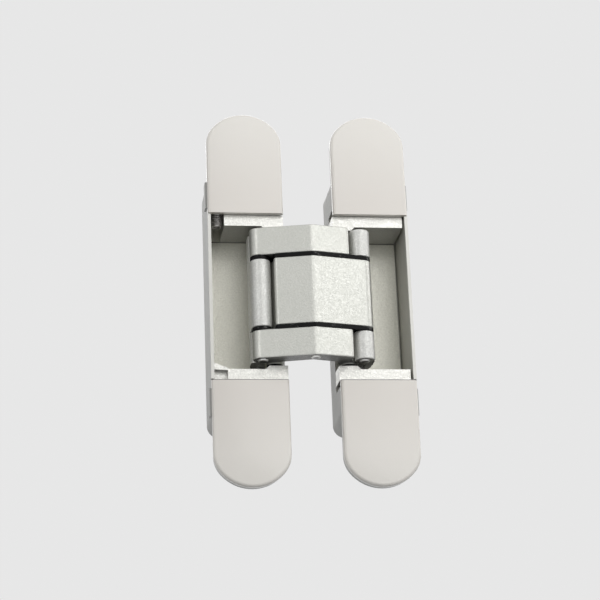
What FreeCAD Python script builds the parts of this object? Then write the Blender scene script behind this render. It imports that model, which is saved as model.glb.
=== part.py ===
import math
import os

import FreeCAD
import Part

# Driving dimensions in millimetres.
# X runs across both leaves, Y goes deeper into the door, Z runs up the pins.
LEAF_WIDTH = 30.0
LEAF_LENGTH = 153.0
HALF_GAP = 10.0
DEPTH = 24.8
WALL = 1.2
COVER_THICK = 2.2
FLANGE_THICK = 3.0
END_CORNER = 11.0
END_FLATNESS = 1.16
FLOOR_THICK = 1.5
CARRIER_FRONT = 2.5
WINDOW_DEPTH = 12.0
SPINDLE_ROOM = 5.4
SHOULDER_DROP = 1.1
BLOCK_HEIGHT = 4.5
PAD_HEIGHT = 1.4
RIM_FRONT = 0.8
BOSS_FRONT = 3.2
BOSS_RISE = 0.7

# Linkage of the frame side, as X and Y of each pivot; the door side mirrors it.
ARM_PIVOT = (-14.484, 6.936)
CENTRE = (0.0, -4.284)
KNUCKLE = (-19.89, 0.612)
LEVER_TAIL = (-20.278, 13.321)
LEVER_BORE = (-19.278, 12.852)
NECK = (-11.322, -0.51)
RIDGE = -8.1
ARM_EYE = 3.3
NECK_R = 2.9
CENTRE_EYE = 3.4
KNUCKLE_R = 4.0
TAIL_EYE = 2.8
LEVER_THICK = 3.2
SIDE_GAP = 0.9
SHOULDER_R = 1.4
EDGE_BREAK = 0.3
ARM_SEAM = 1.1
MIDDLE_SEAM = 1.6

# Pin radii, then clearances of running, sliding and swinging parts, and the lap of joined forms.
ARM_PIN_R = 1.9
CENTRE_PIN_R = 2.1
KNUCKLE_PIN_R = 2.2
LEVER_PIN_R = 1.5
LEVER_BORE_R = 2.7
RUN = 0.05
SLIDE_GAP = 0.2
SWING_GAP = 0.4
LAP = 0.5

# Fixing holes, clamp screws, clip legs and the travel of both adjustments.
FIXING_R = 2.2
FIXING_HEAD_R = 4.3
CLAMP_R = 2.0
CLAMP_HEAD_R = 3.8
CLAMP_HEAD = 3.45
CLAMP_FRONT = 4.5
SPINDLE_R = 2.2
CLIP_HALF = 4.0
CLIP_THICK = 1.2
SIDE_IN = 1.5
SIDE_OUT = 0.5
HEIGHT_TRAVEL = 2.0

# Places across and into the leaf that follow from them.
LEAF_IN = -HALF_GAP
LEAF_OUT = LEAF_IN - LEAF_WIDTH
LEAF_MID = (LEAF_IN + LEAF_OUT) / 2
POCKET_OUT = LEAF_OUT + WALL
POCKET_IN = LEAF_IN - WALL
END_CROWN = LEAF_WIDTH / 2 + END_FLATNESS
FLANGE_BACK = COVER_THICK + FLANGE_THICK
POCKET_BACK = DEPTH - 1.4 * WALL
TRAY_BACK = DEPTH - 4.5 * WALL
FLOOR = POCKET_BACK - FLOOR_THICK - SLIDE_GAP
CARRIER_IN = POCKET_IN - SIDE_IN - SLIDE_GAP
FRAME_CARRIER_OUT = POCKET_OUT + SPINDLE_ROOM
DOOR_CARRIER_OUT = POCKET_OUT + SIDE_OUT + SLIDE_GAP
SPINDLE_X = POCKET_OUT + SPINDLE_ROOM / 2
SPINDLE_Y = CARRIER_FRONT + 1.4 * SPINDLE_R
CLAMP_X = LEAF_MID + CLAMP_R
FIXING_X = LEAF_WIDTH / 4

# Heights of the stacked bands, all measured from the middle.
COVER_START = LEAF_LENGTH * 2 / 9
BODY_HALF = LEAF_LENGTH * 0.3366
CARRIER_BOTTOM = COVER_START - BLOCK_HEIGHT
PAD_TOP = CARRIER_BOTTOM - PAD_HEIGHT
EYE_TOP = PAD_TOP - ARM_SEAM
PRONG_TOP = EYE_TOP - SWING_GAP
LEVER_TOP = PRONG_TOP - SWING_GAP
PRONG_LOW = 0.577 * PRONG_TOP
TONGUE_TOP = PRONG_LOW - MIDDLE_SEAM
PIN_END = COVER_START - 0.6
BORE_END = PIN_END + 0.3
TRAY_HALF = BODY_HALF - WALL
CARRIER_HALF = TRAY_HALF - HEIGHT_TRAVEL - SLIDE_GAP
PLATE_HALF = COVER_START + HEIGHT_TRAVEL
BEARING_LOW = TRAY_HALF - 3 * WALL
BEARING_THICK = 1.0
CLAMP_Z = COVER_START + 0.42 * (BODY_HALF - COVER_START)
FIXING_Z = LEAF_LENGTH / 2 - 14.5
CLIPS = ((BODY_HALF + FIXING_Z) / 2 - CLIP_THICK / 2, CLIP_HALF), (LEAF_LENGTH / 2 - 5.5, 0.75 * CLIP_HALF)
BIG = 2 * LEAF_LENGTH


# Basic solids.
def vec(x, y, z):
    return FreeCAD.Vector(x, y, z)


def box(x0, x1, y0, y1, z0, z1):
    return Part.makeBox(abs(x1 - x0), y1 - y0, abs(z1 - z0), vec(min(x0, x1), y0, min(z0, z1)))


def rod_z(at, radius, z0, z1):
    return Part.makeCylinder(radius, z1 - z0, vec(at[0], at[1], z0), vec(0, 0, 1))


def rod_y(x, z, radius, y0, y1):
    return Part.makeCylinder(radius, y1 - y0, vec(x, y0, z), vec(0, 1, 0))


def cone_y(x, z, r0, r1, y0, y1):
    return Part.makeCone(r0, r1, y1 - y0, vec(x, y0, z), vec(0, 1, 0))


def prism(points, z0, z1):
    wire = Part.makePolygon([vec(x, y, z0) for x, y in points + points[:1]])
    return Part.Face(wire).extrude(vec(0, 0, z1 - z0))


def prism_y(points, y0, y1):
    wire = Part.makePolygon([vec(x, y0, z) for x, z in points + points[:1]])
    return Part.Face(wire).extrude(vec(0, y1 - y0, 0))


def hexagon(x, y, radius):
    turns = [math.radians(60 * k) for k in range(6)]
    return [(x + radius * math.cos(t), y + radius * math.sin(t)) for t in turns]


def slab(x0, x1, z0, z1, y0, y1, radius):
    """A plate across Y with four rounded corners."""
    shape = box(x0, x1, y0, y1, z0, z1)
    corners = [e for e in shape.Edges if abs(e.Vertexes[0].Y - e.Vertexes[1].Y) > 0.1]
    return shape.makeFillet(radius, corners)


def slot_y(x, z, radius, dx, dz, y0, y1):
    """A long hole across Y that reaches dx or dz to each side of its middle."""
    ends = [rod_y(x + s * dx, z + s * dz, radius, y0, y1) for s in (-1, 1)]
    wide, high = (dx, radius) if dx else (radius, dz)
    return ends[0].fuse([ends[1], box(x - wide, x + wide, y0, y1, z - high, z + high)])


def edges_at(shape, depth):
    return [e for e in shape.Edges if max(abs(v.Y - depth) for v in e.Vertexes) < 0.01]


def mirror_x(shape):
    return shape.mirror(vec(0, 0, 0), vec(1, 0, 0))


def flip(at):
    return (-at[0], at[1])


def both_ends(maker):
    """Return the solid that maker builds at the upper end and its lower twin."""
    upper = maker()
    return [upper, upper.mirror(vec(0, 0, 0), vec(0, 0, 1))]


def compound(shapes):
    return Part.makeCompound(shapes)


def join(shapes):
    return shapes[0].fuse(shapes[1:]).removeSplitter()


def hull(p, rp, q, rq, z0, z1):
    """Two round eyes joined by their common tangents."""
    dx, dy = q[0] - p[0], q[1] - p[1]
    length = math.hypot(dx, dy)
    lean = math.asin((rp - rq) / length)
    base = math.atan2(dy, dx)
    points = []
    for centre, radius, side in ((p, rp, 1), (q, rq, 1), (q, rq, -1), (p, rp, -1)):
        angle = base + side * (math.pi / 2 - lean)
        points.append((centre[0] + radius * math.cos(angle), centre[1] + radius * math.sin(angle)))
    return join([prism(points, z0, z1), rod_z(p, rp, z0, z1), rod_z(q, rq, z0, z1)])


# Outline of a leaf: straight sides and a flattened round end of two corners and a crown.
def leaf_outline(inset, y0, y1):
    half = LEAF_WIDTH / 2 - inset
    corner = END_CORNER - inset
    side = LEAF_WIDTH / 2 - END_CORNER
    high = LEAF_LENGTH / 2 - END_CROWN
    drop = math.sqrt((END_CROWN - END_CORNER) ** 2 - side ** 2)
    low = high + drop
    tilt = math.atan2(side, drop)
    join_x = side + corner * math.sin(tilt)
    join_z = corner * math.cos(tilt)
    turn = (tilt + math.pi / 2) / 2
    mid_x = side + corner * math.sin(turn)
    mid_z = corner * math.cos(turn)
    edges = []
    for up in (1, -1):
        at = [vec(LEAF_MID + up * x, y0, up * z) for x, z in (
            (half, low), (mid_x, low + mid_z), (join_x, low + join_z),
            (0, LEAF_LENGTH / 2 - inset), (-join_x, low + join_z), (-mid_x, low + mid_z), (-half, low))]
        edges.append(Part.Arc(at[0], at[1], at[2]).toShape())
        edges.append(Part.Arc(at[2], at[3], at[4]).toShape())
        edges.append(Part.Arc(at[4], at[5], at[6]).toShape())
        edges.append(Part.LineSegment(at[6], vec(LEAF_MID - up * half, y0, -up * low)).toShape())
    face = Part.Face(Part.Wire(edges))
    return face.extrude(vec(0, y1 - y0, 0))


# Deep tray of a leaf with the bevel that the cutter's round corner asks for.
def tray():
    shape = slab(LEAF_OUT, LEAF_IN, -BODY_HALF, BODY_HALF, COVER_THICK, DEPTH, 4 * WALL)
    return shape.makeChamfer(0.8 * WALL, edges_at(shape, DEPTH))


# Cored pocket in the back of one end, with a round boss left for the clamp screw.
def core():
    margin = 2 * WALL
    low = PLATE_HALF + HEIGHT_TRAVEL + margin
    high = BODY_HALF - margin
    shape = slab(LEAF_OUT + margin, LEAF_IN - margin, low, high, TRAY_BACK + WALL, DEPTH + 1, WALL)
    return shape.cut(rod_y(CLAMP_X, CLAMP_Z, 2.2 * CLAMP_R, 0, BIG))


# Housing of the frame leaf: flange, deep tray, pocket, holes and outer bosses.
def housing():
    rim = COVER_START - RUN * 2
    body = [leaf_outline(COVER_THICK / 7, COVER_THICK, FLANGE_BACK), tray()]
    body.append(box(LEAF_OUT, POCKET_OUT, RIM_FRONT, COVER_THICK, -rim, rim))
    boss_low = COVER_START + 1.5 * CLAMP_R
    for s in (-1, 1):
        z0, z1 = sorted((s * boss_low, s * (boss_low + 5.5 * CLAMP_R)))
        body.append(slab(LEAF_OUT - BOSS_RISE, LEAF_OUT + WALL / 2, z0, z1,
                         BOSS_FRONT, BOSS_FRONT + 2 * CLAMP_R, WALL / 4))
    shape = join(body)
    deep = PLATE_HALF + HEIGHT_TRAVEL + WALL / 2
    window = COVER_START + HEIGHT_TRAVEL + WALL / 2
    cuts = [box(POCKET_OUT, POCKET_IN, -1, POCKET_BACK, -deep, deep)]
    cuts.append(slab(POCKET_OUT, POCKET_IN, -TRAY_HALF, TRAY_HALF, -1, TRAY_BACK, 3 * WALL))
    cuts.append(box(POCKET_IN - 1, LEAF_IN + 1, -1, WINDOW_DEPTH, -window, window))
    cuts.extend(both_ends(core))
    high = CLIP_THICK / 2 + SLIDE_GAP
    for z, half in CLIPS:
        wide = half + SLIDE_GAP
        slot = box(LEAF_MID - wide, LEAF_MID + wide, 0, FLANGE_BACK + 1, z - high, z + high)
        cuts.extend(both_ends(lambda: slot))
    fixings = [(LEAF_MID + a * FIXING_X, b * FIXING_Z) for a in (-1, 1) for b in (-1, 1)]
    sink = COVER_THICK + FIXING_HEAD_R - FIXING_R
    cones = [cone_y(x, z, FIXING_HEAD_R, FIXING_R, COVER_THICK, sink) for x, z in fixings]
    bores = [rod_y(x, z, FIXING_R, 0, FLANGE_BACK + 1) for x, z in fixings]
    bores.extend(rod_y(CLAMP_X, s * CLAMP_Z, CLAMP_R, TRAY_BACK - 1, DEPTH + 1) for s in (-1, 1))
    return shape.cut(cuts).cut(cones).cut(bores)


# Bearing of the height spindle: a lug with an open throat, cast to the tray's outer wall.
def spindle_bearing():
    shape = box(LEAF_OUT + WALL / 2, POCKET_OUT + 0.9 * SPINDLE_ROOM, SPINDLE_Y - 1.4 * SPINDLE_R,
                SPINDLE_Y + SPINDLE_R, BEARING_LOW, BEARING_LOW + BEARING_THICK)
    neck = 0.6 * SPINDLE_R + RUN
    throat = box(SPINDLE_X - neck, SPINDLE_X + neck, 0, SPINDLE_Y, 0, BIG)
    return shape.cut([throat, rod_z((SPINDLE_X, SPINDLE_Y), neck, 0, BIG)])


# Height spindle: threaded rod with a hexagon socket below and a collared neck above.
def height_spindle():
    at = (SPINDLE_X, SPINDLE_Y)
    bottom = CARRIER_BOTTOM + SLIDE_GAP
    collar_low = BEARING_LOW + BEARING_THICK + RUN
    rod = rod_z(at, SPINDLE_R, bottom, BEARING_LOW - RUN)
    rod = rod.makeChamfer(2 * SLIDE_GAP, [e for e in rod.Edges if e.Closed])
    neck = rod_z(at, 0.6 * SPINDLE_R, BEARING_LOW - 1, collar_low)
    collar = rod_z(at, 0.85 * SPINDLE_R, collar_low, collar_low + WALL)
    socket = prism(hexagon(at[0], at[1], 0.6 * SPINDLE_R), bottom - 1, bottom + SPINDLE_R)
    return join([rod, neck, collar]).cut(socket)


# Clip-on cover of one end: thin shell with a softened front edge and two clip legs.
def cover():
    above = box(-BIG, BIG, -BIG, BIG, COVER_START, BIG)
    plate = leaf_outline(0.0, 0.0, COVER_THICK).common(above)
    plate = plate.makeFillet(COVER_THICK / 3, edges_at(plate, 0))
    inside = box(-BIG, BIG, -BIG, BIG, COVER_START + WALL, BIG)
    plate = plate.cut(leaf_outline(WALL, COVER_THICK / 2, COVER_THICK + 1).common(inside))
    legs = []
    for z, half in CLIPS:
        low, high = z - CLIP_THICK / 2, z + CLIP_THICK / 2
        end = FLANGE_BACK - SLIDE_GAP
        legs.append(box(LEAF_MID - half, LEAF_MID + half, COVER_THICK / 3, end, low, high))
    return join([plate] + legs)


# Carrier: floor plate between two end blocks that hold the arm and lever pins.
def carrier(out, plate_out, slide_x, slide_z):
    back = FLOOR + FLOOR_THICK
    block_back = WINDOW_DEPTH - SLIDE_GAP
    shapes = [box(plate_out, CARRIER_IN, FLOOR, back, -PLATE_HALF, PLATE_HALF)]
    cuts = []
    for s in (-1, 1):
        shapes.append(box(out, LEAF_IN, CARRIER_FRONT, block_back, s * CARRIER_BOTTOM, s * COVER_START))
        shapes.append(box(out, CARRIER_IN, block_back, back, s * CARRIER_BOTTOM, s * COVER_START))
        z0, z1 = sorted((s * (CARRIER_BOTTOM + 2 * LAP), s * CARRIER_HALF))
        front = CARRIER_FRONT + SHOULDER_DROP
        shapes.append(slab(out, CARRIER_IN, z0, z1, front, TRAY_BACK - SLIDE_GAP, 2.8 * WALL))
        pad_out = ARM_PIVOT[0] - ARM_EYE + LAP
        foot = s * (CARRIER_BOTTOM + LAP)
        ramp = pad_out - PAD_HEIGHT
        pad = [(ramp, foot), (ramp, s * CARRIER_BOTTOM), (pad_out, s * PAD_TOP),
               (LEAF_IN, s * PAD_TOP), (LEAF_IN, foot)]
        shapes.append(prism_y(pad, CARRIER_FRONT, block_back))
        z0, z1 = sorted((s * (PAD_TOP - 1), s * BORE_END))
        cuts.append(rod_z(ARM_PIVOT, ARM_PIN_R, z0, z1))
        cuts.append(rod_z(LEVER_BORE, LEVER_BORE_R, z0, z1))
        cuts.append(slot_y(CLAMP_X, s * CLAMP_Z, CLAMP_R + RUN * 3, slide_x, slide_z, 0, DEPTH))
        seat = CLAMP_FRONT + CLAMP_HEAD + RUN
        cuts.append(slot_y(CLAMP_X, s * CLAMP_Z, CLAMP_HEAD_R + 0.3, slide_x, slide_z, 0, seat))
    return join(shapes).cut(cuts)


# Frame carrier: adds the spindle's half nut, and a gusset and a step in the lower outer corner.
def frame_carrier():
    plate_out = POCKET_OUT + SLIDE_GAP
    shape = carrier(FRAME_CARRIER_OUT, plate_out, 0.0, HEIGHT_TRAVEL)
    nut = box(FRAME_CARRIER_OUT - SPINDLE_R, FRAME_CARRIER_OUT + LAP, CARRIER_FRONT + SHOULDER_DROP,
              SPINDLE_Y + SPINDLE_R + WALL, CLAMP_Z - 2 * CLAMP_R, CLAMP_Z + CLAMP_R)
    nut = nut.cut(rod_z((SPINDLE_X, SPINDLE_Y), SPINDLE_R + 2 * RUN, 0, BODY_HALF))
    tip = FRAME_CARRIER_OUT + LAP
    gusset = [(plate_out, -EYE_TOP), (tip, -CARRIER_BOTTOM + SLIDE_GAP), (tip, -CARRIER_BOTTOM - LAP),
              (plate_out, -CARRIER_BOTTOM - SLIDE_GAP)]
    back = FLOOR + FLOOR_THICK / 2
    step = box(plate_out, tip, CARRIER_FRONT + 2 * WALL, back, -PLATE_HALF, -CARRIER_BOTTOM)
    return join([shape, nut, step, prism_y(gusset, CARRIER_FRONT, back)])


def stands_at(edge, at):
    return all(math.hypot(v.X - at[0], v.Y - at[1]) < 0.01 for v in edge.Vertexes)


# Profile of one arm: pivot eye, bent neck, flat roof facets and knuckle eye.
def arm_band(z0, z1):
    tip = flip(KNUCKLE)
    reach = math.hypot(tip[0], tip[1] - RIDGE)
    slope = math.atan2(tip[1] - RIDGE, tip[0]) - math.asin(KNUCKLE_R / reach)
    run = math.sqrt(reach ** 2 - KNUCKLE_R ** 2)
    touch = (run * math.cos(slope), RIDGE + run * math.sin(slope))
    face_x = KNUCKLE[0] + KNUCKLE_R + SIDE_GAP
    shoulder = (face_x, RIDGE - face_x * math.tan(slope))
    roof = prism([(0.0, RIDGE), shoulder, (face_x, NECK[1]), NECK, CENTRE, tip, touch], z0, z1)
    parts = [roof.makeFillet(SHOULDER_R, [e for e in roof.Edges if stands_at(e, shoulder)])]
    parts.append(hull(ARM_PIVOT, ARM_EYE, NECK, NECK_R, z0, z1))
    parts.append(hull(NECK, NECK_R, CENTRE, CENTRE_EYE, z0, z1))
    parts.append(hull(CENTRE, CENTRE_EYE, tip, KNUCKLE_R, z0, z1))
    return join(parts)


# The same profile with the roof's sharp edges broken, above and below.
def broken_band(z0, z1):
    shape = arm_band(z0, z1)
    level = [e for e in shape.Edges if abs(e.Vertexes[0].Z - e.Vertexes[-1].Z) < 0.01]
    return shape.makeChamfer(EDGE_BREAK, [e for e in level if min(v.Y for v in e.Vertexes) < RIDGE + 0.01])


# Inner arm: one wide tongue on a full-height eye.
def inner_arm():
    shape = join([broken_band(-TONGUE_TOP, TONGUE_TOP), rod_z(ARM_PIVOT, ARM_EYE, -EYE_TOP, EYE_TOP)])
    bores = [rod_z(ARM_PIVOT, ARM_PIN_R + RUN, -BIG, BIG)]
    bores.append(rod_z(CENTRE, CENTRE_PIN_R, -BIG, BIG))
    bores.append(rod_z(flip(KNUCKLE), KNUCKLE_PIN_R + RUN, -BIG, BIG))
    return shape.cut(bores)


# Fork arm: two prongs above and below the tongue on a full-height eye.
def fork_arm():
    prongs = both_ends(lambda: broken_band(PRONG_LOW, PRONG_TOP))
    shape = join(prongs + [rod_z(ARM_PIVOT, ARM_EYE, -EYE_TOP, EYE_TOP)])
    bores = [rod_z(ARM_PIVOT, ARM_PIN_R + RUN, -BIG, BIG)]
    bores.append(rod_z(CENTRE, CENTRE_PIN_R + RUN, -BIG, BIG))
    bores.append(rod_z(flip(KNUCKLE), KNUCKLE_PIN_R, -BIG, BIG))
    return mirror_x(shape.cut(bores))


# Slide washers of the centre: plates with the tongue's outline above and below it.
def centre_washers():
    z0, z1 = TONGUE_TOP + RUN, PRONG_LOW - RUN
    bores = [rod_z(ARM_PIVOT, ARM_EYE + RUN, -BIG, BIG)]
    bores.append(rod_z(CENTRE, CENTRE_PIN_R + RUN, -BIG, BIG))
    bores.append(rod_z(flip(KNUCKLE), KNUCKLE_R + RUN, -BIG, BIG))
    return compound(both_ends(lambda: arm_band(z0, z1).cut(bores)))


# Lever: plate behind the knuckle, hooked round to the tail eye.
def lever(knuckle_bands, bore_r):
    half = LEVER_THICK / 2
    spine = KNUCKLE[0] - KNUCKLE_R + half
    bend = (spine, LEVER_TAIL[1] - TAIL_EYE + 0.3)
    clear = (spine, KNUCKLE[1] + KNUCKLE_R + SWING_GAP + half)
    shapes = [hull(clear, half, bend, half - 0.001, -LEVER_TOP, LEVER_TOP)]
    shapes.append(hull(bend, half, LEVER_TAIL, TAIL_EYE, -LEVER_TOP, LEVER_TOP))
    for z0, z1 in knuckle_bands:
        knuckle = rod_z(KNUCKLE, KNUCKLE_R, z0, z1)
        shapes.append(knuckle.makeChamfer(EDGE_BREAK, [e for e in knuckle.Edges if e.Closed]))
        shapes.append(box(spine - half, spine + half, KNUCKLE[1], clear[1], z0, z1))
    cuts = [rod_z(KNUCKLE, bore_r, -BIG, BIG), rod_z(LEVER_TAIL, LEVER_PIN_R, -BIG, BIG)]
    return join(shapes).cut(cuts)


# Pins and washers.
def pin(at, radius, half):
    shape = rod_z(at, radius, -half, half)
    return shape.makeChamfer(radius / 8, [e for e in shape.Edges if e.Closed])


def washers(at, outer, inner, z0, z1):
    return compound(both_ends(lambda: rod_z(at, outer, z0, z1).cut(rod_z(at, inner, z0 - 1, z1 + 1))))


# Clamp screw: socket head in the carrier slot, shank in the housing floor.
def clamp_screw():
    seat = CLAMP_FRONT + CLAMP_HEAD
    head = rod_y(CLAMP_X, CLAMP_Z, CLAMP_HEAD_R, CLAMP_FRONT, seat)
    head = head.makeChamfer(CLAMP_R / 5, [e for e in edges_at(head, CLAMP_FRONT) if e.Closed])
    shank = rod_y(CLAMP_X, CLAMP_Z, CLAMP_R, seat, DEPTH - WALL / 2)
    socket = prism_y(hexagon(CLAMP_X, CLAMP_Z, 0.9 * CLAMP_R), 0, CLAMP_FRONT + CLAMP_R)
    return join([head, shank]).cut(socket)


# Every node with its solid, drawn about the gap between the leaves.
nodes = {}
nodes["frame_housing"] = join([housing(), spindle_bearing()])
nodes["door_housing"] = mirror_x(housing())
upper_cover, lower_cover = both_ends(cover)
nodes["frame_upper_cover"] = upper_cover
nodes["frame_lower_cover"] = lower_cover
nodes["door_upper_cover"] = mirror_x(upper_cover)
nodes["door_lower_cover"] = mirror_x(lower_cover)
nodes["frame_carrier"] = frame_carrier()
nodes["door_carrier"] = mirror_x(carrier(DOOR_CARRIER_OUT, DOOR_CARRIER_OUT, SIDE_IN, 0.0))
nodes["height_spindle"] = height_spindle()
nodes["inner_arm"] = inner_arm()
nodes["fork_arm"] = fork_arm()
nodes["frame_lever"] = lever([(-TONGUE_TOP, TONGUE_TOP)], KNUCKLE_PIN_R + RUN)
outer_bands = [(PRONG_LOW, PRONG_TOP), (-PRONG_TOP, -PRONG_LOW)]
nodes["door_lever"] = mirror_x(lever(outer_bands, KNUCKLE_PIN_R))
pin_half = PRONG_TOP + 0.3
nodes["centre_pin"] = pin(CENTRE, CENTRE_PIN_R, pin_half)
nodes["frame_arm_pin"] = pin(ARM_PIVOT, ARM_PIN_R, PIN_END)
nodes["door_arm_pin"] = pin(flip(ARM_PIVOT), ARM_PIN_R, PIN_END)
nodes["frame_knuckle_pin"] = pin(KNUCKLE, KNUCKLE_PIN_R, pin_half)
nodes["door_knuckle_pin"] = pin(flip(KNUCKLE), KNUCKLE_PIN_R, pin_half)
nodes["frame_lever_pin"] = pin(LEVER_TAIL, LEVER_PIN_R, PIN_END - SWING_GAP)
nodes["door_lever_pin"] = pin(flip(LEVER_TAIL), LEVER_PIN_R, PIN_END - SWING_GAP)
nodes["centre_washers"] = centre_washers()
band = (TONGUE_TOP + RUN, PRONG_LOW - RUN)
nodes["frame_knuckle_washers"] = washers(KNUCKLE, KNUCKLE_R - 2 * RUN, KNUCKLE_PIN_R + RUN, *band)
nodes["door_knuckle_washers"] = washers(flip(KNUCKLE), KNUCKLE_R - 2 * RUN, KNUCKLE_PIN_R + RUN, *band)
band = (EYE_TOP + RUN, PAD_TOP - RUN)
nodes["frame_arm_washers"] = washers(ARM_PIVOT, ARM_EYE - 2 * RUN, ARM_PIN_R + RUN, *band)
nodes["door_arm_washers"] = washers(flip(ARM_PIVOT), ARM_EYE - 2 * RUN, ARM_PIN_R + RUN, *band)
nodes["frame_clamp_screws"] = compound(both_ends(clamp_screw))
nodes["door_clamp_screws"] = mirror_x(nodes["frame_clamp_screws"])

# The row's origin is the middle of the frame leaf's fixing holes, on the back of its flange.
os.makedirs("parts", exist_ok=True)
for name, shape in nodes.items():
    shape.translate(vec(-LEAF_MID, -FLANGE_BACK, 0))
    shape.exportStep("parts/" + name + ".step")
    print(name, len(shape.Solids), shape.isValid(), round(shape.Volume, 1))
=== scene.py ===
import math

import bmesh
import bpy
from mathutils import Matrix, Vector


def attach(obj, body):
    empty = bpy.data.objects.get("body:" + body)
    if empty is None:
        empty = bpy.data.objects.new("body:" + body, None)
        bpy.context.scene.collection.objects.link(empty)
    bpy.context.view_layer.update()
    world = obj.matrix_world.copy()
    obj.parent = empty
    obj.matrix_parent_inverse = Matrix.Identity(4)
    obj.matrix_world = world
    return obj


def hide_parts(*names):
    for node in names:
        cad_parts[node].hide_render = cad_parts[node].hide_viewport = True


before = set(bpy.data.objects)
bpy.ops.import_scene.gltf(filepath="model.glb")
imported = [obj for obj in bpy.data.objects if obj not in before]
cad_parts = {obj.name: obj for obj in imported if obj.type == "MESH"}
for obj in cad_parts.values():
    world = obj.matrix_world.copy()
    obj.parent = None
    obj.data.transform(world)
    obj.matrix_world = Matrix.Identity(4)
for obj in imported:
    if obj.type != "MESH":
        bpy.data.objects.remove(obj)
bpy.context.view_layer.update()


# Housings: two cast zinc trays with a thin flange, a deep pocket and drilled ends. Front and
# pocket are sprayed light grey, painted lighter at the front and darker deeper in, as painted
# light and shade. The outer walls and the back keep the bare cast skin, a little darker, with a
# fine pebble and a slow change of tone; on the outer walls the darker skin is also painted shade.
class Socket:
    """A shader socket that takes Python sums, so that materials read as formulas."""

    def __init__(self, tree, source):
        self.tree = tree
        self.source = source

    def node(self, kind, settings=None, **values):
        """Adds a node. Its settings come first, then its inputs, by name or as i0, i1 and so on."""
        made = self.tree.nodes.new(kind)
        for key, value in (settings or {}).items():
            setattr(made, key, value)
        for key, value in values.items():
            by_number = key[1:].isdigit()
            where = made.inputs[int(key[1:]) if by_number else key.replace("_", " ")]
            if isinstance(value, Socket):
                self.tree.links.new(value.source, where)
            else:
                where.default_value = value
        return made

    def out(self, made, name=0):
        return Socket(self.tree, made.outputs[name])

    def math(self, operation, *values):
        inputs = {"i%d" % i: value for i, value in enumerate(values)}
        return self.out(self.node("ShaderNodeMath", {"operation": operation}, **inputs))

    def __add__(self, other):
        return self.math("ADD", self, other)

    def __sub__(self, other):
        return self.math("SUBTRACT", self, other)

    def __mul__(self, other):
        return self.math("MULTIPLY", self, other)

    def __rsub__(self, other):
        return self.math("SUBTRACT", other, self)

    def __abs__(self):
        return self.math("ABSOLUTE", self)

    __radd__ = __add__
    __rmul__ = __mul__

    def at_least(self, low):
        return self.math("MAXIMUM", self, low)

    def axis(self, name):
        """One coordinate of a vector."""
        return self.out(self.node("ShaderNodeSeparateXYZ", i0=self), name)

    def above(self, low, high):
        """0 below low, 1 above high, smooth between."""
        return self.out(self.node("ShaderNodeMapRange", {"interpolation_type": "SMOOTHSTEP"},
                                  i0=self, i1=low, i2=high))

    def noise(self, scale, detail=2.0):
        return self.out(self.node("ShaderNodeTexNoise", i0=self, Scale=scale, Detail=detail), "Fac")

    def mix(self, low, high):
        """The colour low where this socket is 0, high where it is 1."""
        made = self.node("ShaderNodeMix", {"data_type": "RGBA"}, i0=self, i6=low, i7=high)
        return Socket(self.tree, made.outputs[2])

    def bump(self, distance, strength=1.0):
        return self.out(self.node("ShaderNodeBump", Height=self, Distance=distance,
                                  Strength=strength))


def new_material(name, **fixed):
    """A material with its Principled node, and its Object coordinates as a socket."""
    made = bpy.data.materials.new(name)
    made.use_nodes = True
    shader = made.node_tree.nodes["Principled BSDF"]
    for key, value in fixed.items():
        shader.inputs[key.replace("_", " ")].default_value = value
    place = made.node_tree.nodes.new("ShaderNodeTexCoord")
    return made, shader, Socket(made.node_tree, place.outputs["Object"])


def feed(shader, **links):
    """Links sockets to the inputs of a Principled node."""
    for key, value in links.items():
        value.tree.links.new(value.source, shader.inputs[key.replace("_", " ")])


def dress(finish, *nodes):
    """Gives CAD nodes their finish."""
    for node in nodes:
        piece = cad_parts[node]
        piece.data.materials.clear()
        piece.data.materials.append(finish)


LEAF_HALF = 0.0150
LEAF_PITCH = 0.0500
TRAY_HALF = 0.0515
TRAY_ROUND = 0.0048
FRONT_FADE, SKIN_FADE = (-0.0042, -0.0020), (-0.0040, -0.0025)
SKIN_LINE = (TRAY_ROUND - 0.0003, TRAY_ROUND - 0.0001)
BACK_LINE = (0.0187, 0.0189)
SPRAY_SHADE, SPRAY_LIGHT = (0.53, 0.525, 0.48, 1), (0.72, 0.715, 0.675, 1)
SKIN_SHADE, SKIN_LIGHT = (0.40, 0.40, 0.385, 1), (0.45, 0.45, 0.43, 1)

cast_grey, shader, at = new_material("cast_grey", Metallic=0.35, Specular_IOR_Level=0.5)
pebble = at.noise(2600.0, 2.0)
tone = at.noise(90.0, 3.0).above(0.3, 0.75)
depth = at.axis("Y")
# Painted light and shade: the front is painted lighter and the pocket darker with depth.
front_painted_light = 1.0 - depth.above(*FRONT_FADE)
sprayed = (tone * 0.25 + front_painted_light * 0.75).mix(SPRAY_SHADE, SPRAY_LIGHT)
from_middle = at.math("MINIMUM", abs(at.axis("X")), abs(at.axis("X") - LEAF_PITCH))
past_side = (from_middle - (LEAF_HALF - TRAY_ROUND)).at_least(0.0)
past_end = (abs(at.axis("Z")) - (TRAY_HALF - TRAY_ROUND)).at_least(0.0)
reach = at.math("SQRT", past_side * past_side + past_end * past_end)
outer_wall = reach.above(*SKIN_LINE) * depth.above(*SKIN_FADE)
# The outer walls and the back take the darker bare skin; on the outer walls this darker tone is
# also painted shade, for the shadow they stand in.
bare_skin_and_shade = outer_wall.at_least(depth.above(*BACK_LINE))
feed(shader, Base_Color=bare_skin_and_shade.mix(sprayed, tone.mix(SKIN_SHADE, SKIN_LIGHT)),
     Roughness=pebble * 0.18 + 0.42,
     Normal=(pebble * 0.7 + at.noise(700.0) * 0.3).bump(0.00006, 0.6))
dress(cast_grey, "frame_housing", "door_housing")


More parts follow.
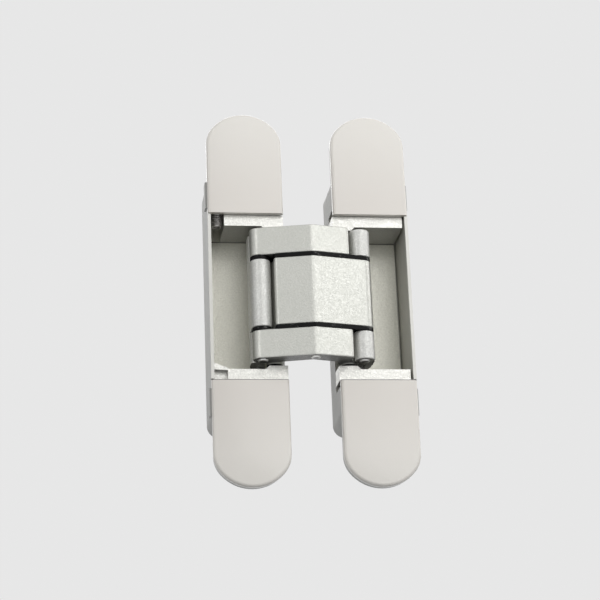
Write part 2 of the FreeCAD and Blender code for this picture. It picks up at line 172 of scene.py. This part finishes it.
# Covers: four clip-on caps, moulded and coated warm off-white with a smooth satin skin.
# The rim is rolled over all round the arch and the straight end is cut sharp. Two clip
# legs press through slots of the flange. The caps bear no print.
COVER_HALF = 0.01499
UPPER_START, LOWER_START, COVER_END = 0.0341, 0.0343, 0.07649
COVER_FACE, COVER_BACK = -0.0052, -0.0030
COVER_HOLLOW = (COVER_FACE + COVER_BACK) / 2
COVER_WALL = 0.0012
CORNER_ROUND, CROWN_ROUND = 0.011, 0.01615
CORNER_STEPS, CROWN_STEPS = 12, 32
ROLL, ROLL_STEPS = 0.0012, 8
CLIPS = ((0.05615, 0.0040), (0.0710, 0.0030))
CLIP_THICK, CLIP_LAP, CLIP_END = 0.0012, 0.0002, -0.0002
SEAM_SHADOW_BAND = (-LOWER_START - 0.00030, -LOWER_START - 0.00022)
COVER_SHARP = 0.6


def straight(shape, point, rise):
    """Draws a line up or down from a point, and returns its end."""
    grown = bmesh.ops.extrude_vert_indiv(shape, verts=[point])["verts"][0]
    grown.co.z += rise
    return grown


def arc(shape, point, centre, depth, angle, steps):
    """Draws an arc from a point about a centre, and returns its end."""
    drawn = bmesh.ops.spin(shape, geom=[point], cent=(centre[0], depth, centre[1]),
                           axis=(0, 1, 0), angle=angle, steps=steps)
    return next(part for part in drawn["geom_last"] if isinstance(part, bmesh.types.BMVert))


def arch(shape, inset, depth, start):
    """A line from the straight end up one side, over the curved end and down the other side."""
    before = set(shape.edges)
    side = COVER_HALF - CORNER_ROUND
    drop = math.sqrt((CROWN_ROUND - CORNER_ROUND) ** 2 - side ** 2)
    shoulder = COVER_END - CROWN_ROUND + drop
    tilt = math.atan2(side, drop)
    foot = (COVER_HALF - inset, depth, start)
    point = bmesh.ops.create_vert(shape, co=foot)["vert"][0]
    point = straight(shape, point, shoulder - start)
    point = arc(shape, point, (side, shoulder), depth, tilt - math.pi / 2, CORNER_STEPS)
    point = arc(shape, point, (0, COVER_END - CROWN_ROUND), depth, -2 * tilt, CROWN_STEPS)
    point = arc(shape, point, (-side, shoulder), depth, tilt - math.pi / 2, CORNER_STEPS)
    straight(shape, point, start - shoulder)
    return [edge for edge in shape.edges if edge not in before]


def closed(shape, edges):
    """Joins the two ends of an arch with a straight edge and returns the whole loop."""
    ends = [vert for vert in {v for edge in edges for v in edge.verts}
            if sum(vert in edge.verts for edge in edges) == 1]
    return edges + bmesh.ops.contextual_create(shape, geom=ends)["edges"]


def shade(shape, sharp):
    """Shades a shape smooth, apart from the edges where its faces turn by more than sharp."""
    for face in shape.faces:
        face.smooth = True
    for edge in shape.edges:
        edge.smooth = len(edge.link_faces) == 2 and edge.calc_face_angle() < sharp


def new_piece(shape, name, finish, body, slot, *nodes):
    """Makes a finished shape an object that rides on a body, in place of any CAD nodes."""
    mesh = bpy.data.meshes.new(name)
    shape.to_mesh(mesh)
    shape.free()
    mesh.materials.append(finish)
    piece = bpy.data.objects.new(name, mesh)
    bpy.context.scene.collection.objects.link(piece)
    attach(piece, body)
    if nodes:
        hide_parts(*nodes)
    return piece


def cover_cap(name, node, body, x, up):
    cap = bmesh.new()
    start = UPPER_START if up else LOWER_START
    turns = [math.pi / 2 * (1 - step / ROLL_STEPS) for step in range(ROLL_STEPS + 1)]
    rings = [arch(cap, 0, COVER_BACK, start)]
    rings += [arch(cap, ROLL * (1 - math.sin(turn)), COVER_FACE + ROLL * (1 - math.cos(turn)),
                   start) for turn in turns]
    for near, far in zip(rings, rings[1:]):
        bmesh.ops.bridge_loops(cap, edges=near + far)
    bmesh.ops.contextual_create(cap, geom=closed(cap, rings[-1]))
    rim, ceiling = [closed(cap, arch(cap, COVER_WALL, depth, start + COVER_WALL))
                    for depth in (COVER_BACK, COVER_HOLLOW)]
    bmesh.ops.bridge_loops(cap, edges=rim + ceiling)
    bmesh.ops.contextual_create(cap, geom=ceiling)
    bmesh.ops.bridge_loops(cap, edges=closed(cap, rings[0]) + rim)
    bmesh.ops.holes_fill(cap, edges=cap.edges, sides=0)
    for z, half in CLIPS:
        leg = bmesh.ops.create_cube(cap, size=1.0)["verts"]
        root = COVER_HOLLOW - CLIP_LAP
        bmesh.ops.scale(cap, verts=leg, vec=(2 * half, CLIP_END - root, CLIP_THICK))
        bmesh.ops.translate(cap, verts=leg, vec=(0, (CLIP_END + root) / 2, z))
    if not up:
        bmesh.ops.rotate(cap, verts=cap.verts, cent=(0, 0, 0),
                         matrix=Matrix.Rotation(math.pi, 3, "Y"))
    bmesh.ops.translate(cap, verts=cap.verts, vec=(x, 0, 0))
    bmesh.ops.recalc_face_normals(cap, faces=cap.faces)
    shade(cap, COVER_SHARP)
    new_piece(cap, name, cover_white, body, "cover", node)


cover_white, shader, at = new_material("cover_white", Metallic=0.0, Coat_Weight=0.9,
                                       Coat_Roughness=0.15)
height = at.axis("Z")
# Painted light: the coat is painted paler towards the curved ends of the caps, for the light those
# ends catch.
paler = abs(height).above(UPPER_START, COVER_END)
coat = (at.noise(60.0, 2.0) * 0.3 + paler * 0.7).mix((0.80, 0.75, 0.685, 1), (0.89, 0.86, 0.795, 1))
# Painted shadow: a dark band about a quarter of a millimetre wide at the straight end of the lower
# caps, for the shadow in the seam against the block.
painted_seam_shadow = height.above(*SEAM_SHADOW_BAND) * (1.0 - height.above(-0.02, 0.02))
feed(shader, Base_Color=painted_seam_shadow.mix(coat, (0.12, 0.115, 0.11, 1)),
     Roughness=at.noise(1500.0, 2.0) * 0.12 + 0.3,
     Normal=at.noise(420.0, 1.0).bump(0.00003, 0.35))
cover_cap("frame_upper_cap", "frame_upper_cover", "frame_leaf", 0.0, True)
cover_cap("frame_lower_cap", "frame_lower_cover", "frame_leaf", 0.0, False)
cover_cap("door_upper_cap", "door_upper_cover", "door_leaf", LEAF_PITCH, True)
cover_cap("door_lower_cap", "door_lower_cover", "door_leaf", LEAF_PITCH, False)


# Carriers, arms and levers: cast zinc with a metallic silver lacquer, whose flakes of about
# a fifth of a millimetre catch the light one by one. Deep in the pocket the lacquer is thin,
# dull and slightly green. Faces turned up or down, at the ends and undersides of the
# castings, are duller and painted darker, as painted shade.
RIDGE, RIDGE_ROUND, RIDGE_STEPS = (0.025, -0.0133), 0.0013, 6
NEAR_RIDGE, RIDGE_SHORTEST = 5e-5, 0.002
MERGE, FLAT, ARM_SHARP = 1e-6, 0.004, 0.5
POCKET_FLOOR = (0.0135, 0.0150)
CREASE = (0.0290, 0.0294, 0.0295, 0.0297)
PAINTED_CREASE_SHADE = (0.16, 0.15, 0.13, 1)


def silver(name, low, high, painted_end_shade, rough=0.48, metal=0.74, deep=None):
    """A lacquer of two tones, with painted shade on faces turned up or down, and a tone for the
    pocket's floor with a painted shade line at its crease.
    """
    finish, shader, at = new_material(name, Coat_Weight=0.2, Coat_Roughness=0.25)
    flake = at.out(at.node("ShaderNodeTexVoronoi", i0=at, Scale=1900.0), "Color")
    glint = at.out(at.node("ShaderNodeSeparateColor", i0=flake))
    grain = at.noise(1500.0, 3.0)
    drift = at.noise(75.0, 2.0)
    mask = glint.above(0.55, 1.0) * 0.4 + grain.above(0.35, 0.7) * 0.6
    colour = (mask * 0.8 + drift * 0.2).mix(low, high)
    metal = drift * 0.04 + (metal - 0.02)
    if deep:
        floor = at.axis("Y").above(*POCKET_FLOOR)
        level = abs(at.axis("Z"))
        # Painted shade: a dark line on the pocket floor where it meets the blocks, for the shade in
        # that crease.
        crease_painted_shade = level.above(*CREASE[:2]) * (1.0 - level.above(*CREASE[2:]))
        paler = [tone * 1.12 for tone in deep[:3]] + [1]
        dull = (grain.above(0.2, 0.8) * (1.0 - crease_painted_shade)).mix(deep, paler)
        colour = floor.mix(colour, crease_painted_shade.mix(dull, PAINTED_CREASE_SHADE))
        metal = metal * (1.0 - floor * 0.7)
    facing = Socket(at.tree, at.source.node.outputs["Normal"])
    # Painted shade: faces turned up or down, the ends and undersides of the castings, are painted
    # darker.
    end = abs(facing.axis("Z")).above(0.85, 0.97)
    feed(shader, Base_Color=end.mix(colour, painted_end_shade), Metallic=metal * (1.0 - end * 0.6),
         Roughness=rough + glint * -0.17,
         Normal=(grain * 0.75 + glint * 0.25).bump(0.00013, 0.8))
    return finish


def rounded_arm(name, node, body, finish):
    """A copy of an arm whose ridge, where its two roof facets meet, is rounded off."""
    arm = bmesh.new()
    arm.from_mesh(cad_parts[node].data)
    bmesh.ops.remove_doubles(arm, verts=arm.verts, dist=MERGE)
    bmesh.ops.dissolve_limit(arm, angle_limit=FLAT, verts=arm.verts, edges=arm.edges)
    ridge = [edge for edge in arm.edges if edge.calc_length() > RIDGE_SHORTEST
             and all((v.co - Vector((*RIDGE, v.co.z))).length < NEAR_RIDGE for v in edge.verts)]
    bmesh.ops.bevel(arm, geom=ridge, offset=RIDGE_ROUND, segments=RIDGE_STEPS, profile=0.5,
                    affect="EDGES", material=-1)
    shade(arm, ARM_SHARP)
    piece = new_piece(arm, name, finish, body, "arm", node)
    even = piece.modifiers.new("even_facets", "WEIGHTED_NORMAL")
    even.keep_sharp = True


arm_silver = silver("arm_silver", (0.50, 0.505, 0.465, 1), (0.585, 0.585, 0.55, 1),
                    painted_end_shade=(0.13, 0.13, 0.12, 1))
rounded_arm("tongue_arm", "inner_arm", "inner_arm", arm_silver)
rounded_arm("two_prong_arm", "fork_arm", "fork_arm", arm_silver)
lever_silver = silver("lever_silver", (0.59, 0.59, 0.56, 1), (0.77, 0.77, 0.74, 1),
                      painted_end_shade=(0.17, 0.165, 0.155, 1), rough=0.55, metal=0.4)
dress(lever_silver, "frame_lever", "door_lever")
carrier_silver = silver("carrier_silver", (0.58, 0.58, 0.545, 1), (0.79, 0.78, 0.74, 1),
                        painted_end_shade=(0.44, 0.44, 0.41, 1), deep=(0.78, 0.77, 0.68, 1))
dress(carrier_silver, "frame_carrier", "door_carrier")


# Pins: ground steel, seen at their ends under the arms and in the gaps between them.
# Grinding left faint lines all over them, a little brighter than the steel between.
ground_steel, shader, at = new_material("ground_steel", Metallic=1.0)
lines = at.noise(5200.0, 2.0)
feed(shader, Base_Color=lines.mix((0.42, 0.42, 0.41, 1), (0.60, 0.60, 0.58, 1)),
     Roughness=lines * 0.2 + 0.2, Normal=lines.bump(0.00002, 0.5))
dress(ground_steel, "centre_pin", "frame_arm_pin", "door_arm_pin", "frame_knuckle_pin",
      "door_knuckle_pin", "frame_lever_pin", "door_lever_pin")


# Pin heads: the pins of the two knuckles and of the centre are riveted over at their ends,
# so each end is a low dome, painted bright at its rim and dark on top, as a painted highlight and
# reflection.
HEAD_START, HEAD_END = 0.0269, 0.0272
HEAD_RISE = HEAD_END - HEAD_START
HEAD_SEGMENTS, HEAD_RINGS = 48, 16
KNUCKLE_IN, KNUCKLE_DEPTH, KNUCKLE_HEAD = 0.00511, -0.004588, 0.0019
CENTRE_DEPTH, CENTRE_HEAD = -0.009484, 0.0018


def pin_heads(name, body, x, y, radius):
    heads = bmesh.new()
    for end in (-1, 1):
        dome = bmesh.ops.create_uvsphere(heads, u_segments=HEAD_SEGMENTS,
                                         v_segments=HEAD_RINGS, radius=radius)["verts"]
        bmesh.ops.scale(heads, verts=dome, vec=(1, 1, HEAD_RISE / radius))
        bmesh.ops.translate(heads, verts=dome, vec=(x, y, end * HEAD_START))
    shade(heads, math.pi)
    new_piece(heads, name, painted_glint_steel, body, "pin")


painted_glint_steel, shader, at = new_material("painted_glint_steel", Metallic=0.9)
# Painted highlight and reflection: the rim of each dome is painted bright and its top dark.
painted_dark_top = abs(at.axis("Z")).above(HEAD_START + 0.4 * HEAD_RISE, HEAD_END - 0.00004)
feed(shader, Base_Color=painted_dark_top.mix((0.80, 0.80, 0.78, 1), (0.15, 0.145, 0.14, 1)),
     Roughness=at.noise(2400.0, 2.0) * 0.2 + 0.25)
pin_heads("centre_pin_heads", "inner_arm", LEAF_PITCH / 2, CENTRE_DEPTH, CENTRE_HEAD)
pin_heads("frame_knuckle_pin_heads", "fork_arm", KNUCKLE_IN, KNUCKLE_DEPTH, KNUCKLE_HEAD)
pin_heads("door_knuckle_pin_heads", "door_lever", LEAF_PITCH - KNUCKLE_IN, KNUCKLE_DEPTH,
          KNUCKLE_HEAD)


# Washers: moulded of black bearing polymer and laid loose on the pins between the knuckles.
# The polymer is waxy, and pale specks on it are painted glints.
black_polymer, shader, at = new_material("black_polymer", Specular_IOR_Level=0.12)
wax = at.noise(1800.0, 2.0)
# Painted glints: pale specks on the black polymer.
painted_glint_specks = at.noise(520.0, 3.0).above(0.60, 0.70)
feed(shader, Base_Color=painted_glint_specks.mix((0.004, 0.004, 0.004, 1), (0.09, 0.088, 0.085, 1)),
     Roughness=wax * 0.25 + 0.35, Normal=wax.bump(0.00003, 0.4))
dress(black_polymer, "centre_washers", "frame_knuckle_washers", "door_knuckle_washers",
      "frame_arm_washers", "door_arm_washers")


# Screws: socket screws in the housings' backs and the height spindle beside the upper block,
# steel with a dark zinc coat. The spindle's thread is a row of grooves along its length.
THREAD_PITCH = 0.0008

dark_zinc, shader, at = new_material("dark_zinc", Metallic=0.9)
coat = at.noise(1300.0, 3.0)
feed(shader, Base_Color=coat.mix((0.10, 0.10, 0.11, 1), (0.24, 0.24, 0.26, 1)),
     Roughness=coat * 0.2 + 0.3, Normal=coat.bump(0.00003, 0.5))
dress(dark_zinc, "frame_clamp_screws", "door_clamp_screws")

thread_zinc, shader, at = new_material("thread_zinc", Metallic=0.8)
groove = at.math("SINE", at.axis("Z") * (2 * math.pi / THREAD_PITCH)) * 0.5 + 0.5
grease = at.noise(1100.0, 3.0).above(0.35, 0.7)
# Painted shade and highlight: the thread is painted darker in its grooves and lighter on its
# crests.
feed(shader, Base_Color=(groove * grease).mix((0.20, 0.19, 0.18, 1), (0.62, 0.61, 0.60, 1)),
     Roughness=grease * 0.2 + 0.4, Normal=groove.bump(0.0003, 0.9))
dress(thread_zinc, "height_spindle")


# Stand: a plain pale floor well below the hinge, which is held by its frame leaf. It looks
# pale to the camera and in gloss, but throws little light up under the hinge.
FLOOR_HEIGHT, FLOOR_SIZE = -0.32, 12.0
SCATTERING, SEEN = (0.20, 0.20, 0.20, 1), (0.58, 0.58, 0.58, 1)
NO_GLOW, GLOW = (0, 0, 0, 1), (0.44, 0.44, 0.44, 1)


def seen_straight(tree):
    """1 for rays from the camera, in gloss or through glass, and 0 for scattered light."""
    ray = tree.nodes.new("ShaderNodeLightPath")
    seen = Socket(tree, ray.outputs["Is Camera Ray"])
    for other in ("Is Glossy Ray", "Is Transmission Ray"):
        seen = seen.at_least(Socket(tree, ray.outputs[other]))
    return seen


bpy.ops.mesh.primitive_plane_add(size=FLOOR_SIZE, location=(0, 0, FLOOR_HEIGHT))
floor = bpy.context.object
floor.name = "floor"
pale, shader, at = new_material("pale_floor", Roughness=0.9, Emission_Strength=1.0)
seen = seen_straight(at.tree)
feed(shader, Base_Color=seen.mix(SCATTERING, SEEN), Emission_Color=seen.mix(NO_GLOW, GLOW))
floor.data.materials.append(pale)


# Light: a large soft lamp in front on the right, a smaller one on the left, one that grazes
# the right edges and one behind, in a pale room whose backdrop is near white.
HINGE_MIDDLE = Vector((LEAF_PITCH / 2, 0, 0))

world = bpy.data.worlds.new("pale_room")
bpy.context.scene.world = world
world.use_nodes = True
tree = world.node_tree
ambient = tree.nodes["Background"]
ambient.inputs["Color"].default_value = (0.90, 0.91, 0.93, 1)
ambient.inputs["Strength"].default_value = 0.60
backdrop = tree.nodes.new("ShaderNodeBackground")
backdrop.inputs["Color"].default_value = (0.80, 0.80, 0.80, 1)
choice = tree.nodes.new("ShaderNodeMixShader")
tree.links.new(seen_straight(tree).source, choice.inputs[0])
tree.links.new(ambient.outputs[0], choice.inputs[1])
tree.links.new(backdrop.outputs[0], choice.inputs[2])
tree.links.new(choice.outputs[0], tree.nodes["World Output"].inputs["Surface"])


def soft_lamp(name, place, size, power):
    """A round lamp of a width in metres and a power in watts, turned to the hinge."""
    lamp = bpy.data.lights.new(name, "AREA")
    lamp.shape = "DISK"
    lamp.size = size
    lamp.energy = power
    held = bpy.data.objects.new(name, lamp)
    held.location = place
    held.rotation_euler = (HINGE_MIDDLE - Vector(place)).to_track_quat("-Z", "Y").to_euler()
    bpy.context.scene.collection.objects.link(held)


soft_lamp("key_lamp", (0.30, -0.59, 0.31), size=0.70, power=1.98)
soft_lamp("fill_lamp", (-0.52, -0.60, 0.30), size=0.35, power=0.76)
soft_lamp("side_lamp", (0.90, -0.10, 0.30), size=0.45, power=1.2)
soft_lamp("back_lamp", (0.1, 0.9, 0.6), size=0.90, power=3.0)


# Camera: below the middle of the hinge and a little to its left, looking up at it from
# about three quarters of a metre, as in the photograph.
FOCAL_PX, PICTURE_PX, SENSOR_MM = 1869.43, 600, 36.0
YAW, PITCH, ROLL_OVER = (math.radians(angle) for angle in (8.504, -18.652, -2.252))
SEEN_MIDDLE = Vector((0.004593, -0.001995, 0.730256))
COVER_MIDDLE = Vector((LEAF_PITCH / 2, COVER_FACE, 0))

# The rows of turn are the camera's right, down and forward axes.
turn = (Matrix.Rotation(ROLL_OVER, 3, "Z") @ Matrix(((1, 0, 0), (0, 0, -1), (0, 1, 0)))
        @ Matrix.Rotation(PITCH, 3, "X") @ Matrix.Rotation(YAW, 3, "Z"))
lens = bpy.data.cameras.new("camera")
lens.sensor_width = SENSOR_MM
lens.lens = SENSOR_MM * FOCAL_PX / PICTURE_PX
camera = bpy.data.objects.new("camera", lens)
bpy.context.scene.collection.objects.link(camera)
axes = Matrix((turn[0], -turn[1], -turn[2])).transposed()
place = COVER_MIDDLE - turn.transposed() @ SEEN_MIDDLE
camera.matrix_world = Matrix.Translation(place) @ axes.to_4x4()
bpy.context.scene.camera = camera
bpy.context.scene.view_settings.view_transform = "Standard"
